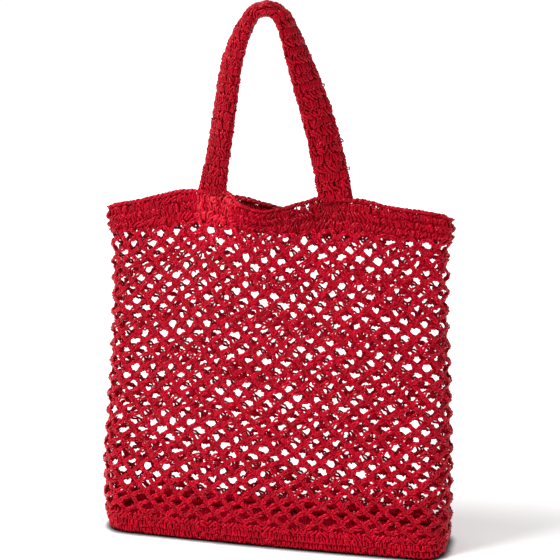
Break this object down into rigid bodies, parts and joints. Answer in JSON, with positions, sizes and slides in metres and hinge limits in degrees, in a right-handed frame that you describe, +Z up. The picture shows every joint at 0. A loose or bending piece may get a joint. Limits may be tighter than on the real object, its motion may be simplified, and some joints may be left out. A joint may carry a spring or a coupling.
{
  "type": "crocheted straw net bag",
  "caption": "Soft free-standing crocheted straw tote: solid floor, base and rim bands, an open diamond net body and one tall arched handle.",
  "frame": {"origin": "on the floor under the middle of the bag's outer box", "axes": "+Z up, +X to the right along the bag's width, -Y towards the front, the side that carries the handle"},
  "size_m": [0.4259, 0.1035, 0.6336],
  "materials": {
    "straw_base": "solid crocheted paper straw, slightly glossy",
    "straw_net": "open net of crocheted paper-straw chains, slightly glossy",
    "straw_rim": "solid crocheted paper straw, slightly glossy",
    "straw_handle": "thick crocheted paper straw, slightly glossy"
  },
  "bodies": {
    "root": {"base_panel": "straw_base", "base_band": "straw_base", "net_body": "straw_net", "rim_band": "straw_rim", "handle": "straw_handle"}
  },
  "joints": []
}
